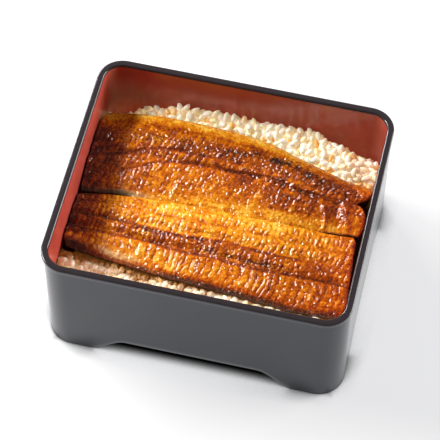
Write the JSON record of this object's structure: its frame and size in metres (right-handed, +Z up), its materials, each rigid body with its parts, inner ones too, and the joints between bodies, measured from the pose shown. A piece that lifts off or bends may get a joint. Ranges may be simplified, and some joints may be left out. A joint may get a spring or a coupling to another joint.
{
  "type": "grilled eel on rice in a lacquered box",
  "caption": "Glazed grilled eel fillets lying side by side on rice in an upright black and red lacquered box with arched sides at its foot.",
  "frame": {"origin": "centre of the box's foot, on the surface that it stands on", "axes": "+X along the box's long side, +Y from its front to its back, +Z up"},
  "size_m": [0.152, 0.129, 0.069],
  "materials": {
    "black_lacquer": "polished black lacquer on moulded ware",
    "red_lacquer": "polished red lacquer on moulded ware",
    "cooked_rice": "moist cooked short rice, stained in places by sauce",
    "glazed_eel_back": "grilled flesh under a wet brown glaze, charred in bands",
    "glazed_eel_front": "grilled flesh under a wet amber glaze"
  },
  "bodies": {
    "root": {"lacquer_box": "black_lacquer", "rice_bed": "cooked_rice", "eel_fillet_back": "glazed_eel_back", "eel_fillet_front": "glazed_eel_front"}
  },
  "joints": []
}
